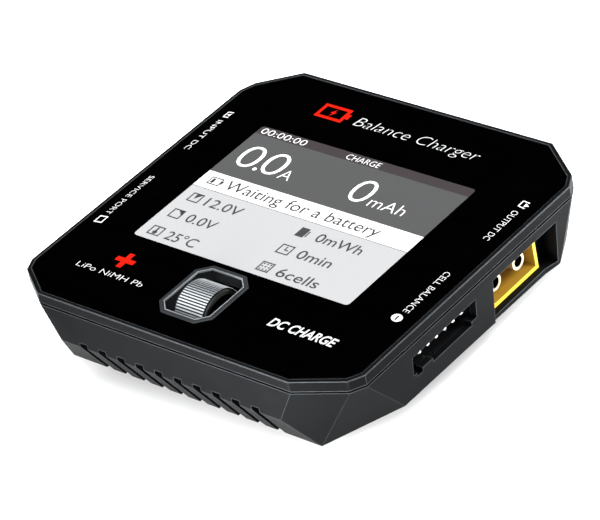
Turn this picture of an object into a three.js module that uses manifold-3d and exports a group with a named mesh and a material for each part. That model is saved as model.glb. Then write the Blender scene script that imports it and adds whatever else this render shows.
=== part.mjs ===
// Compact balance battery charger for model batteries.
// A faceted two-part case carries a black cover glass with a colour display behind it, a roller
// control that turns and presses, shrouded power connectors left and right, a seven-pin balance
// header, a service socket, a cooling fan and the power electronics.
// Millimetres, +Z up. Origin: centre of the footprint, on the surface that the feet stand on.

import * as THREE from 'three';
import { ConvexGeometry } from 'three/addons/geometries/ConvexGeometry.js';
import { mergeVertices } from 'three/addons/utils/BufferGeometryUtils.js';
import Module from 'manifold-3d';

const wasm = await Module();
wasm.setup();

// ---------------------------------------------------------------- driving dimensions

const HALF = 40;                 // half of the square plan
const TOP = 19.5;                // top edge of the rim over the flat middle
const FLOOR = 1.8;               // flat underside, lifted by the feet
const WALL = 1.4;
const GAP = 0.3;                 // clearance round anything cut to a neighbour's shape

const FOLD_X = 30;               // the top is flat inside this, and falls away outside it
const FOLD_SLOPE = 0.13;         // fall of the side wings, mm per mm
const FOLD_Y = 39.75;            // front and back edges of the rim
const CORNER_OUT = [38.5, 33.85];
const CORNER_SIDE = [HALF, 30.85];

const RIM_HEIGHT = 2.2;          // visible band of the upper frame
const RIM_STRIP = 0.9;           // flat strip between the band and the glass
const SEAM = 0.4;                // groove between the two case parts
const GLASS_SINK = 0.1;          // the glass lies this far under the rim
const GLASS_THICK = 1.2;
const GLUE = 0.02;               // film under the cover glass

const CREASE = { y: HALF, z: 10.0 };     // level where the front and back walls turn inwards
const BELLY_Y = 35.1;                    // front and back edges of the flat underside
const FLANK_LEAN = 0.112;                // inward lean of the side walls, mm per mm
const CORNERS = {
  front: { bellyX: 30.1, flankZ: 4.0 },
  back: { bellyX: 33.7, flankZ: 3.3 },
};

const SHELL_TOP = TOP - RIM_HEIGHT - SEAM;
const GLASS_TOP = TOP - GLASS_SINK;
const PLATE_TOP = GLASS_TOP - GLASS_THICK;
const PLATE_BOTTOM = TOP - RIM_HEIGHT;

const BOARD_BOTTOM = 5.4;
const BOARD_TOP = 7.0;

const ABOVE = 45;                // a cutting tool that starts inside the case ends out here

const SCREW_PLACES = fourPlaces(27, 29.8);
const FOOT_PLACES = fourPlaces(25, 21.5);
const STANDOFF_PLACES = fourPlaces(19, 31);
const BOSS = {
  radius: 2.6, post: 2.4, hole: 1.3, well: 2.3, wellTop: FLOOR + 1.5, top: 9.0, holeTop: 14.6,
};
const SCREW = { headRadius: 1.9, headTop: FLOOR + 1.4, shank: 1.0, top: 14, hex: 0.8 };
const FOOT = { radius: 4, well: 4.15, sunk: 0.5, chamfer: 0.6 };
const STANDOFF_RADIUS = 1.5;

const SLOT_COUNT = 10;
const SLOT_PITCH = 4.6;
const SLOT_WIDTH = 1.8;
const INTAKE = { pitch: 2.7, width: 1.5, eachSide: 3, margin: 0.8 };

const PORT = {
  y: 14.6, z: 8.35, length: 16, height: 8.1, face: 36.6, back: 20.6, wall: 0.8, depth: 7, corner: 2.2,
};
const RECESS = {
  y0: 6.0, y1: 25.75, roof: 13.5, roofThick: 1.2, under: 2.5, outer: 39.2,
  lip: 38.0, lipEnd: 22.6, lipStep: 0.65, back: 35.2,
};
const CONTACT = {
  pitch: 7.2, radius: 1.75, bore: 1.15, boreDepth: 6, clearance: 0.25, tip: 35.7, tail: 19.6,
};

const HEADER = {
  y0: -18.2, y1: 0.65, z0: 8.75, z1: 12.85, face: 37.2, back: 26.0, cavity: 28.5, wall: 1.0,
};
const HEADER_PINS = 7;
const HEADER_PITCH = 2.5;
const HEADER_SLOTS = [[-17.25, -15.6], [-12.5, -0.9]];
const HEADER_SLOT_FLOOR = 7.9;
const PIN = { level: 10.5, half: 0.32, foot: 4.4, hole: 0.65 };

const SERVICE = { y: -10, z: 8.7, width: 7.5, height: 2.7, sheet: 0.35, face: -37.6, back: -33.0 };
const TONGUE = { half: 1.8, bottom: 8.4, top: 9.0 };

const WHEEL = { x: -0.6, y: -26.35, z: TOP - 4.35, radius: 5.75, width: 6.4, shoulder: 0.5 };
const WHEEL_TRAVEL = 0.5;
const RING = { outer: [6.45, 7.65], inner: [5.45, 6.65], neck: [6.0, 7.2], hole: [6.2, 7.4] };
const RING_PROUD = 0.25;
const RING_CHAMFER = 2.5;        // corner cut of the ring's outer edge
const CHAMFER_SHARE = 0.59;      // how much a corner cut shrinks as its outline moves in

const FAN = { x: 0, y: 8, size: 25, bottom: 3.4, top: 10.2, duct: 11.7, hub: 5.5, plate: 0.9 };
const BLADE = { count: 7, length: 6.4, thick: 0.7, chord: 4.6, reach: 2.4, twist: Math.PI / 5 };
const FAN_SCREW = { inset: 2.4, hole: 1.1, head: 1.5, headHeight: 1, shank: 0.75, bottom: 2.2 };

const DISPLAY = { halfX: 28.5, y0: -18.2, y1: 22.4, thick: 1.4 };
const BACKLIGHT = { width: 56.2, height: 40, bottom: 15.6, under: 1.5 };
const RIBBON = { y0: -13, y1: -7, thick: 0.25, radius: 4.0, level: 11.2, tail: 5, steps: 10 };

const SINK = { y0: 23.2, y1: 31.8, halfWidth: 22, base: 1.6, fins: 12, finThick: 1.0, top: 14 };
const PAD = { thick: 0.5, margin: 0.5, halfWidth: 21 };

const WHEEL_RIDGES = { count: 64, depth: 0.28, shoulderDrop: 0.35, dish: 4.6, dishDepth: 0.9, hub: 2.2 };
const AXLE = { radius: 0.9, wheelGap: 0.25, armGap: 0.15 };
const ARM = { clearance: 0.5, thick: 1.0, half: 2.5, above: 1.6 };
const TAB = { reach: 7.6, y: -6.9, bottom: 10.9, top: 11.6 };
const RAIL = { thick: 0.9, half: 2.2, top: 14, base: 0.6 };
const SWITCH = { x: WHEEL.x + 6.1, y: WHEEL.y - 4.9, size: 3.5, top: 9.6, plunger: 0.8, plungerTop: 10.6 };

// Board parts that are plain blocks: centre, size across, size deep and height above the board.
const BOARD_BLOCKS = {
  processor: { at: [-5, -12], size: [10, 10], height: 1.2 },
  power_inductor_1: { at: [-19.5, -19], size: [11, 11], height: 6 },
  power_inductor_2: { at: [12, -13], size: [11, 11], height: 6 },
  current_shunt: { at: [-30, -2], size: [3, 6.4], height: 0.8 },
  input_fuse: { at: [-30, -20], size: [6, 3], height: 2.4 },
};
const CAPACITORS = {
  input_capacitor_1: [-17.5, -3],
  input_capacitor_2: [-25, -3],
  output_capacitor_1: [17.6, 0.5],
  output_capacitor_2: [20.6, -6],
};
const CAN = { base: 6.2, baseHeight: 0.8, radius: 3.05, height: 7.7 };
const BUZZER = { x: 20, y: -26, radius: 4.4, height: 4, hole: 0.9, holeDepth: 1 };

function fourPlaces(x, y) {
  return [[x, y], [-x, y], [-x, -y], [x, -y]];
}

// ---------------------------------------------------------------- materials

function material(color, roughness, metalness) {
  return new THREE.MeshStandardMaterial({ color, roughness, metalness });
}

const casePlastic = material(0x2f3437, 0.55, 0.0);
const rimPlastic = material(0x3d4144, 0.45, 0.0);
const blackGlass = material(0x030304, 0.05, 0.0);
const displayGrey = material(0xd9dbdb, 0.3, 0.0);
const silverPlastic = material(0xa9b2ba, 0.4, 0.1);
const blackPlastic = material(0x0d0e0f, 0.5, 0.0);
const yellowNylon = material(0xe0ac1c, 0.4, 0.0);
const goldPlate = material(0xd8c078, 0.25, 1.0);
const tinPlate = material(0xd6dade, 0.25, 1.0);
const steel = material(0x9ea3a8, 0.35, 1.0);
const aluminium = material(0xb9bdc1, 0.4, 1.0);
const boardLaminate = material(0x10241a, 0.5, 0.0);
const ferrite = material(0x3a3d40, 0.7, 0.0);
const rubber = material(0x151515, 0.9, 0.0);
const polyimide = material(0xa8641e, 0.4, 0.0);

// ---------------------------------------------------------------- solids

// A closed three.js geometry becomes a solid that can be cut and joined.
function solid(geometry) {
  const bare = new THREE.BufferGeometry();
  bare.setAttribute('position', geometry.getAttribute('position'));
  bare.setIndex(geometry.index);
  const merged = mergeVertices(bare, 1e-4);
  const index = merged.index.array;
  const kept = [];
  for (let i = 0; i < index.length; i += 3) {
    const [a, b, c] = [index[i], index[i + 1], index[i + 2]];
    if (a !== b && b !== c && c !== a) kept.push(a, b, c);
  }
  const vertProperties = new Float32Array(merged.getAttribute('position').array);
  const mesh = new wasm.Mesh({ numProp: 3, vertProperties, triVerts: new Uint32Array(kept) });
  return new wasm.Manifold(mesh);
}

function box(x0, x1, y0, y1, z0, z1) {
  const geometry = new THREE.BoxGeometry(x1 - x0, y1 - y0, z1 - z0);
  geometry.translate((x0 + x1) / 2, (y0 + y1) / 2, (z0 + z1) / 2);
  return solid(geometry);
}

// A box around (x, y), given its full sizes and its two levels.
function block(x, y, sizeX, sizeY, z0, z1) {
  return box(x - sizeX / 2, x + sizeX / 2, y - sizeY / 2, y + sizeY / 2, z0, z1);
}

function rodZ(x, y, z0, z1, radius, sides = 24) {
  const geometry = new THREE.CylinderGeometry(radius, radius, z1 - z0, sides);
  geometry.rotateX(Math.PI / 2);
  geometry.translate(x, y, (z0 + z1) / 2);
  return solid(geometry);
}

function rodX(x0, x1, y, z, radius, sides = 24) {
  const geometry = new THREE.CylinderGeometry(radius, radius, x1 - x0, sides);
  geometry.rotateZ(Math.PI / 2);
  geometry.translate((x0 + x1) / 2, y, z);
  return solid(geometry);
}

const AXES = {
  x: [new THREE.Vector3(0, 1, 0), new THREE.Vector3(0, 0, 1), new THREE.Vector3(1, 0, 0)],
  y: [new THREE.Vector3(0, 0, 1), new THREE.Vector3(1, 0, 0), new THREE.Vector3(0, 1, 0)],
  z: [new THREE.Vector3(1, 0, 0), new THREE.Vector3(0, 1, 0), new THREE.Vector3(0, 0, 1)],
};

// An outline swept along an axis. Its points are (y, z) along x, (z, x) along y and (x, y) along z.
function prism(outline, axis, from, to) {
  const shape = new THREE.Shape(outline.map(([u, v]) => new THREE.Vector2(u, v)));
  const geometry = new THREE.ExtrudeGeometry(shape, { depth: to - from, bevelEnabled: false });
  geometry.translate(0, 0, from);
  geometry.applyMatrix4(new THREE.Matrix4().makeBasis(...AXES[axis]));
  return solid(geometry);
}

function joined(first, ...others) {
  return others.reduce((whole, piece) => whole.add(piece), first);
}

function cut(first, ...tools) {
  return tools.reduce((whole, tool) => whole.subtract(tool), first);
}

const group = new THREE.Group();

function place(name, body, surface) {
  const mesh = body.getMesh();
  const geometry = new THREE.BufferGeometry();
  geometry.setAttribute('position', new THREE.BufferAttribute(new Float32Array(mesh.vertProperties), 3));
  geometry.setIndex(new THREE.BufferAttribute(new Uint32Array(mesh.triVerts), 1));
  geometry.computeVertexNormals();
  const node = new THREE.Mesh(geometry, surface);
  node.name = name;
  group.add(node);
}

// ---------------------------------------------------------------- outlines

// The plan outline, counterclockwise: a square with each corner cut by a long and a short facet.
function planOutline() {
  const quarter = [CORNER_SIDE, CORNER_OUT, [FOLD_X, FOLD_Y]];
  const mirrored = quarter.map(([x, y]) => [-x, y]).reverse();
  const back = [...quarter, ...mirrored];
  const front = back.map(([x, y]) => [-x, -y]);
  return [...back, ...front];
}

// A convex outline moved inwards by a distance.
function inset(outline, distance) {
  const count = outline.length;
  const lines = outline.map(([x, y], i) => {
    const [nextX, nextY] = outline[(i + 1) % count];
    const length = Math.hypot(nextX - x, nextY - y);
    const normal = [-(nextY - y) / length, (nextX - x) / length];
    return [normal[0], normal[1], normal[0] * x + normal[1] * y + distance];
  });
  return lines.map(([a, b, c], i) => {
    const [p, q, r] = lines[(i + count - 1) % count];
    const det = a * q - b * p;
    return [(c * q - b * r) / det, (a * r - c * p) / det];
  });
}

// An octagon: a rectangle with four equal corner cuts.
function octagon(cx, cy, halfX, halfY, chamfer) {
  const corners = [
    [halfX, halfY - chamfer], [halfX - chamfer, halfY],
    [chamfer - halfX, halfY], [-halfX, halfY - chamfer],
    [-halfX, chamfer - halfY], [chamfer - halfX, -halfY],
    [halfX - chamfer, -halfY], [halfX, chamfer - halfY],
  ];
  return corners.map(([x, y]) => [cx + x, cy + y]);
}

function fall(x) {
  return Math.max(0, Math.abs(x) - FOLD_X) * FOLD_SLOPE;
}

// A plate of a plan outline whose two faces follow the folded top.
function foldedPlate(outline, top, bottom) {
  const reach = HALF + 5;
  const folds = [-reach, -FOLD_X, FOLD_X, reach];
  const upper = folds.map((x) => [top - fall(x), x]);
  const lower = folds.map((x) => [bottom - fall(x), x]).reverse();
  const slab = prism([...upper, ...lower], 'y', -reach, reach);
  return prism(outline, 'z', bottom - reach, top + reach).intersect(slab);
}

// The point where the line through start along one axis meets the plane through three points.
function onPlane(start, axis, three) {
  const plane = new THREE.Plane().setFromCoplanarPoints(...three);
  const reached = start.clone();
  const slope = plane.normal.getComponent(axis);
  reached.setComponent(axis, start.getComponent(axis) - plane.distanceToPoint(start) / slope);
  return reached;
}

// The three lower points of a corner, placed so that both of its facets are flat.
function cornerPoints({ bellyX, flankZ }) {
  const top = [CORNER_SIDE, CORNER_OUT, [FOLD_X, FOLD_Y]].map(
    ([x, y]) => new THREE.Vector3(x, y, SHELL_TOP - fall(x)),
  );
  const [side, out, fold] = top;
  const belly = new THREE.Vector3(bellyX, BELLY_Y, FLOOR);
  const crease = onPlane(new THREE.Vector3(bellyX, CREASE.y, CREASE.z), 0, [out, fold, belly]);
  const flankX = HALF - FLANK_LEAN * (side.z - flankZ);
  const flank = onPlane(new THREE.Vector3(flankX, 25, flankZ), 1, [side, out, belly]);
  return { crease, belly, flank };
}

// The faceted hull under the seam, moved inwards by a wall thickness.
function hull(depth) {
  const points = [];
  for (const [x, y] of inset(planOutline(), depth)) {
    points.push(new THREE.Vector3(x, y, SHELL_TOP - fall(x)));
  }
  for (const [end, corner] of [[-1, CORNERS.front], [1, CORNERS.back]]) {
    const { crease, belly, flank } = cornerPoints(corner);
    crease.add(new THREE.Vector3(-depth / 2, -depth, depth / 2));
    belly.add(new THREE.Vector3(-depth / 2, -depth, depth));
    flank.add(new THREE.Vector3(-depth, -depth / 2, depth));
    for (const point of [crease, belly, flank]) {
      points.push(new THREE.Vector3(point.x, end * point.y, point.z));
      points.push(new THREE.Vector3(-point.x, end * point.y, point.z));
    }
  }
  return solid(new ConvexGeometry(points));
}

// ---------------------------------------------------------------- case

function ventSlots() {
  const slots = [];
  const inner = BELLY_Y - 1.6;
  const outer = HALF + 2;
  const notchTop = CREASE.z + 0.9;
  for (let i = 0; i < SLOT_COUNT; i += 1) {
    const x = (i - (SLOT_COUNT - 1) / 2) * SLOT_PITCH;
    for (const side of [-1, 1]) {
      slots.push(block(x, side * (inner + outer) / 2, SLOT_WIDTH, outer - inner, 0, notchTop));
    }
  }
  return slots;
}

// Parallel air slots in a round field under the fan.
function intakeSlots() {
  const slots = [];
  const fieldRadius = FAN.duct - INTAKE.margin;
  for (let i = -INTAKE.eachSide; i <= INTAKE.eachSide; i += 1) {
    const offset = i * INTAKE.pitch;
    const half = Math.sqrt(fieldRadius ** 2 - offset ** 2);
    slots.push(block(FAN.x, FAN.y + offset, 2 * half, INTAKE.width, 0, FLOOR + 2 * WALL));
  }
  return slots;
}

// A body made for the right side, or its mirror image for the left.
function onSide(body, side) {
  return side > 0 ? body : body.mirror([1, 0, 0]);
}

// The connector recess on one side: a pocket with its own roof, ends and back wall.
function recessBlock(side) {
  const outer = box(
    RECESS.back - WALL, RECESS.outer, RECESS.y0 - WALL, RECESS.y1 + WALL,
    RECESS.under, RECESS.roof + RECESS.roofThick,
  );
  return onSide(outer, side);
}

function recessCut(side) {
  const floorTop = PORT.z - PORT.height / 2;
  const pocket = box(RECESS.back, ABOVE, RECESS.y0, RECESS.y1, floorTop, RECESS.roof);
  const lipOutline = [
    [RECESS.lip, RECESS.y0], [ABOVE, RECESS.y0], [ABOVE, RECESS.y1],
    [RECESS.lip + RECESS.lipStep, RECESS.y1], [RECESS.lip, RECESS.lipEnd],
  ];
  const lip = prism(lipOutline, 'z', 0, RECESS.roof);
  const halfLength = PORT.length / 2 + GAP;
  const mouth = box(
    FOLD_X, RECESS.back + GAP, PORT.y - halfLength, PORT.y + halfLength,
    floorTop - GAP, PORT.z + PORT.height / 2 + GAP,
  );
  return onSide(joined(pocket, lip, mouth), side);
}

// The balance opening: the header's mouth with its keying slots below.
function headerMouth(x0, x1) {
  const mouth = box(x0, x1, HEADER.y0, HEADER.y1, HEADER.z0, HEADER.z1);
  const slots = HEADER_SLOTS.map(([y0, y1]) => box(x0, x1, y0, y1, HEADER_SLOT_FLOOR, HEADER.z0 + 0.5));
  return joined(mouth, ...slots);
}

function serviceMouth() {
  const reach = 12;
  const around = 1.2;
  const halfHeight = SERVICE.height / 2 + 0.45;
  return block(
    -HALF, SERVICE.y, reach, SERVICE.width + around, SERVICE.z - halfHeight, SERVICE.z + halfHeight,
  );
}

function lowerShell() {
  const bay = hull(WALL);
  const bayTop = foldedPlate(inset(planOutline(), WALL), SHELL_TOP + 5, SHELL_TOP - 0.3);
  let shell = cut(hull(0), bay, bayTop);
  for (const side of [-1, 1]) {
    shell = joined(shell, recessBlock(side).intersect(hull(0.2)));
  }
  const rooted = FLOOR + 0.3;
  for (const [x, y] of SCREW_PLACES) {
    shell = joined(shell, rodZ(x, y, rooted, BOSS.top, BOSS.radius));
  }
  for (const [x, y] of STANDOFF_PLACES) {
    shell = joined(shell, rodZ(x, y, rooted, BOARD_BOTTOM, STANDOFF_RADIUS, 16));
  }
  for (const [x, y] of SCREW_PLACES) {
    shell = cut(shell, rodZ(x, y, 0, BOSS.wellTop, BOSS.well), rodZ(x, y, 0, BOSS.top + 1, BOSS.hole, 16));
  }
  for (const [x, y] of FOOT_PLACES) {
    shell = cut(shell, rodZ(x, y, 0, FLOOR + FOOT.sunk, FOOT.well));
  }
  for (const [x, y] of fanScrewPlaces()) {
    shell = cut(shell, rodZ(x, y, 0, FLOOR + 2 * WALL, FAN_SCREW.hole - 0.1, 12));
  }
  return cut(
    shell, recessCut(1), recessCut(-1), headerMouth(HEADER.face - 2, ABOVE), serviceMouth(),
    ...ventSlots(), ...intakeSlots(),
  );
}

function wheelOpening([halfX, halfY], top, bottom) {
  const chamfer = RING_CHAMFER - (RING.outer[0] - halfX) * CHAMFER_SHARE;
  return prism(octagon(WHEEL.x, WHEEL.y, halfX, halfY, chamfer), 'z', bottom, top);
}

function upperFrame() {
  const band = foldedPlate(planOutline(), TOP, PLATE_BOTTOM);
  const glassBed = foldedPlate(inset(planOutline(), RIM_STRIP), TOP + 3, PLATE_TOP);
  const skirtInset = WALL + 0.7;
  const skirtOuter = foldedPlate(inset(planOutline(), skirtInset), PLATE_BOTTOM + 0.3, PLATE_BOTTOM - 1.1);
  const skirtInner = foldedPlate(inset(planOutline(), skirtInset + 1), PLATE_BOTTOM, PLATE_BOTTOM - 3);
  const window = box(
    -DISPLAY.halfX - GAP, DISPLAY.halfX + GAP, DISPLAY.y0 - GAP, DISPLAY.y1 + GAP, 10, TOP,
  );
  let frame = joined(cut(band, glassBed), cut(skirtOuter, skirtInner));
  for (const [x, y] of SCREW_PLACES) {
    frame = joined(frame, rodZ(x, y, BOSS.top + 0.2, PLATE_BOTTOM + 0.3, BOSS.post));
    frame = cut(frame, rodZ(x, y, 0, BOSS.holeTop, BOSS.hole, 16));
  }
  return cut(frame, window, wheelOpening(RING.hole, TOP, 10));
}

function coverGlass() {
  const outline = inset(planOutline(), RIM_STRIP + 0.12);
  return cut(foldedPlate(outline, GLASS_TOP, PLATE_TOP + GLUE), wheelOpening(RING.hole, TOP, 10));
}

function wheelRing() {
  const flange = wheelOpening(RING.outer, GLASS_TOP + RING_PROUD, GLASS_TOP);
  const neck = wheelOpening(RING.neck, GLASS_TOP + 0.2, PLATE_BOTTOM - 0.3);
  return cut(joined(flange, neck), wheelOpening(RING.inner, TOP + 2, 10));
}

place('lower_shell', lowerShell(), casePlastic);
place('upper_frame', upperFrame(), rimPlastic);
place('cover_glass', coverGlass(), blackGlass);
place('wheel_ring', wheelRing(), rimPlastic);

SCREW_PLACES.forEach(([x, y], i) => {
  const head = rodZ(x, y, FLOOR + 0.2, SCREW.headTop, SCREW.headRadius);
  const shank = rodZ(x, y, FLOOR + 1, SCREW.top, SCREW.shank, 16);
  const socket = rodZ(x, y, 0, FLOOR + 0.8, SCREW.hex, 6);
  place(`case_screw_${i + 1}`, cut(joined(head, shank), socket), steel);
});

FOOT_PLACES.forEach(([x, y], i) => {
  const top = FLOOR + FOOT.sunk;
  const profile = [
    [0, 0], [FOOT.radius - FOOT.chamfer, 0], [FOOT.radius, FOOT.chamfer], [FOOT.radius, top], [0, top],
  ];
  const geometry = new THREE.LatheGeometry(profile.map(([r, z]) => new THREE.Vector2(r, z)), 24);
  geometry.rotateX(Math.PI / 2);
  geometry.translate(x, y, 0);
  place(`rubber_foot_${i + 1}`, solid(geometry), rubber);
});

// ---------------------------------------------------------------- display

// A flat flex that leaves the display's left end, turns down through half a circle and runs back in.
function ribbon() {
  const { thick, level, radius, steps } = RIBBON;
  const centreX = -DISPLAY.halfX - 0.1;
  const arc = (r) => Array.from({ length: steps + 1 }, (_, i) => {
    const angle = Math.PI / 2 + (Math.PI * i) / steps;
    return [level + r * Math.sin(angle), centreX + r * Math.cos(angle)];
  });
  const reach = centreX + RIBBON.tail;
  const outline = [
    [level + radius, reach], ...arc(radius), [level - radius, reach],
    [level - radius + thick, reach], ...arc(radius - thick).reverse(), [level + radius - thick, reach],
  ];
  return prism(outline, 'y', RIBBON.y0, RIBBON.y1);
}

const displayCentre = (DISPLAY.y0 + DISPLAY.y1) / 2;
const displaySize = [2 * DISPLAY.halfX, DISPLAY.y1 - DISPLAY.y0];
const displayPanel = block(0, displayCentre, ...displaySize, PLATE_TOP - DISPLAY.thick, PLATE_TOP);
const backlight = block(
  0, displayCentre, BACKLIGHT.width, BACKLIGHT.height, BACKLIGHT.bottom, PLATE_TOP - BACKLIGHT.under,
);
place('display_panel', displayPanel, displayGrey);
place('display_backlight', backlight, steel);
place('display_ribbon', ribbon(), polyimide);

// ---------------------------------------------------------------- circuit board

function circuitBoard() {
  const quarter = [[36.6, 21.5], [29.5, 34]];
  const back = [...quarter, ...quarter.map(([x, y]) => [-x, y]).reverse()];
  const outline = [...back, ...back.map(([x, y]) => [-x, -y])];
  let board = prism(outline, 'z', BOARD_BOTTOM, BOARD_TOP);
  const through = [0, TOP];
  const halfPort = PORT.length / 2 + 0.4;
  const recessEdge = WALL + 0.4;
  for (const side of [-1, 1]) {
    const inner = box(CONTACT.tail - 0.4, HALF, PORT.y - halfPort, PORT.y + halfPort, ...through);
    const outer = box(
      RECESS.back - WALL - 0.5, HALF, RECESS.y0 - recessEdge, RECESS.y1 + recessEdge, ...through,
    );
    board = cut(board, onSide(joined(inner, outer), side));
  }
  for (const [x, y] of SCREW_PLACES) {
    board = cut(board, rodZ(x, y, ...through, BOSS.radius + 0.4));
  }
  for (const y of headerPinPlaces()) {
    board = cut(board, block(HEADER.back - 1, y, 2 * PIN.hole, 2 * PIN.hole, ...through));
  }
  return cut(board, block(FAN.x, FAN.y, FAN.size + 1, FAN.size + 1, ...through));
}

function headerPinPlaces() {
  const centre = (HEADER.y0 + HEADER.y1) / 2;
  return Array.from({ length: HEADER_PINS }, (_, i) => centre + (i - (HEADER_PINS - 1) / 2) * HEADER_PITCH);
}

place('circuit_board', circuitBoard(), boardLaminate);

const BLOCK_SURFACES = {
  processor: blackPlastic,
  power_inductor_1: ferrite,
  power_inductor_2: ferrite,
  current_shunt: steel,
  input_fuse: tinPlate,
};
for (const [name, { at, size, height }] of Object.entries(BOARD_BLOCKS)) {
  place(name, block(...at, ...size, BOARD_TOP, BOARD_TOP + height), BLOCK_SURFACES[name]);
}

for (const [name, [x, y]] of Object.entries(CAPACITORS)) {
  const base = block(x, y, CAN.base, CAN.base, BOARD_TOP, BOARD_TOP + CAN.baseHeight);
  const can = rodZ(x, y, BOARD_TOP + CAN.baseHeight / 2, BOARD_TOP + CAN.height, CAN.radius);
  place(name, joined(base, can), aluminium);
}

const buzzerTop = BOARD_TOP + BUZZER.height;
const buzzerCase = rodZ(BUZZER.x, BUZZER.y, BOARD_TOP, buzzerTop, BUZZER.radius);
const buzzerHole = rodZ(BUZZER.x, BUZZER.y, buzzerTop - BUZZER.holeDepth, buzzerTop + 1, BUZZER.hole, 12);
place('buzzer', cut(buzzerCase, buzzerHole), blackPlastic);

function heatSink() {
  const base = BOARD_TOP + PAD.thick;
  const pitch = (2 * SINK.halfWidth - SINK.finThick) / (SINK.fins - 1);
  let sink = box(-SINK.halfWidth, SINK.halfWidth, SINK.y0, SINK.y1, base, base + SINK.base);
  for (let i = 0; i < SINK.fins; i += 1) {
    const x = -SINK.halfWidth + i * pitch;
    sink = joined(sink, box(x, x + SINK.finThick, SINK.y0, SINK.y1, base + 1, SINK.top));
  }
  return sink;
}

const thermalPad = box(
  -PAD.halfWidth, PAD.halfWidth, SINK.y0 + PAD.margin, SINK.y1 - PAD.margin,
  BOARD_TOP, BOARD_TOP + PAD.thick,
);
place('heat_sink', heatSink(), aluminium);
place('thermal_pad', thermalPad, rubber);

// ---------------------------------------------------------------- power connectors

// The connector's section: square at one end, with two cut corners at the other.
function portOutline(shrink) {
  const halfY = PORT.length / 2 - shrink;
  const halfZ = PORT.height / 2 - shrink;
  const corner = PORT.corner - shrink * CHAMFER_SHARE;
  const points = [
    [halfY, -halfZ], [halfY, halfZ], [corner - halfY, halfZ],
    [-halfY, halfZ - corner], [-halfY, corner - halfZ], [corner - halfY, -halfZ],
  ];
  return points.map(([y, z]) => [PORT.y + y, PORT.z + z]);
}

function contactPlaces() {
  return [PORT.y + CONTACT.pitch / 2, PORT.y - CONTACT.pitch / 2];
}

function portHousing() {
  const body = prism(portOutline(0), 'x', PORT.back, PORT.face);
  const cavity = prism(portOutline(PORT.wall), 'x', PORT.face - PORT.depth, PORT.face + 1);
  const boreRadius = CONTACT.radius + CONTACT.clearance;
  const bores = contactPlaces().map((y) => rodX(CONTACT.tail, HALF, y, PORT.z, boreRadius, 20));
  return cut(body, cavity, ...bores);
}

function contact(y) {
  const barrel = rodX(CONTACT.tail, CONTACT.tip, y, PORT.z, CONTACT.radius, 20);
  const bore = rodX(CONTACT.tip - CONTACT.boreDepth, CONTACT.tip + 1, y, PORT.z, CONTACT.bore, 16);
  return cut(barrel, bore);
}

for (const [name, side] of [['output', 1], ['input', -1]]) {
  const [positive, negative] = contactPlaces();
  place(`${name}_connector`, onSide(portHousing(), side), yellowNylon);
  place(`${name}_contact_positive`, onSide(contact(positive), side), goldPlate);
  place(`${name}_contact_negative`, onSide(contact(negative), side), goldPlate);
}

// ---------------------------------------------------------------- balance header

function balanceHeader() {
  const { wall } = HEADER;
  const body = box(
    HEADER.back, HEADER.face, HEADER.y0 - wall, HEADER.y1 + wall, BOARD_TOP, HEADER.z1 + wall,
  );
  const hole = PIN.half + GAP;
  const [low, high] = [PIN.level - hole, PIN.level + hole];
  const holes = headerPinPlaces().map(
    (y) => box(HEADER.back - 1, HEADER.cavity + 1, y - hole, y + hole, low, high),
  );
  return cut(body, headerMouth(HEADER.cavity, ABOVE), ...holes);
}

// A bent square pin: a run that points out of the header and a leg down through the board.
function balancePin(y) {
  const { half, level } = PIN;
  const leg = HEADER.back - 1;
  const run = box(leg - half, HEADER.face + GAP, y - half, y + half, level - half, level + half);
  const drop = box(leg - half, leg + half, y - half, y + half, PIN.foot, level);
  return joined(run, drop);
}

place('balance_header', balanceHeader(), blackPlastic);
headerPinPlaces().forEach((y, i) => place(`balance_pin_${i + 1}`, balancePin(y), tinPlate));

// ---------------------------------------------------------------- service socket

function serviceShell() {
  const top = SERVICE.z + SERVICE.height / 2;
  const halfY = SERVICE.width / 2;
  const { sheet } = SERVICE;
  const outer = box(SERVICE.face, SERVICE.back, SERVICE.y - halfY, SERVICE.y + halfY, BOARD_TOP, top);
  const inner = box(
    SERVICE.face - 1, SERVICE.back - sheet, SERVICE.y - halfY + sheet, SERVICE.y + halfY - sheet,
    BOARD_TOP + sheet, top - sheet,
  );
  return cut(outer, inner);
}

const tongue = box(
  SERVICE.face + 1, SERVICE.back - SERVICE.sheet - GAP,
  SERVICE.y - TONGUE.half, SERVICE.y + TONGUE.half, TONGUE.bottom, TONGUE.top,
);
place('service_socket', serviceShell(), steel);
place('service_tongue', tongue, blackPlastic);

// ---------------------------------------------------------------- fan

function fanScrewPlaces() {
  const reach = FAN.size / 2 - FAN_SCREW.inset;
  return [[FAN.x + reach, FAN.y + reach], [FAN.x - reach, FAN.y - reach]];
}

function fanFrame() {
  const plateTop = FAN.bottom + FAN.plate;
  let frame = block(FAN.x, FAN.y, FAN.size, FAN.size, FAN.bottom, FAN.top);
  frame = cut(frame, rodZ(FAN.x, FAN.y, 0, TOP, FAN.duct, 40));
  const hubPlate = rodZ(FAN.x, FAN.y, FAN.bottom, plateTop, FAN.hub);
  const struts = [45, 165, 285].map((angle) => {
    const strut = box(FAN.hub / 2, FAN.duct + 0.5, -0.7, 0.7, FAN.bottom, plateTop);
    return strut.rotate([0, 0, angle]).translate([FAN.x, FAN.y, 0]);
  });
  const holes = fanScrewPlaces().map(([x, y]) => rodZ(x, y, 0, TOP, FAN_SCREW.hole, 12));
  return cut(joined(frame, hubPlate, ...struts), ...holes);
}

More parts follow.
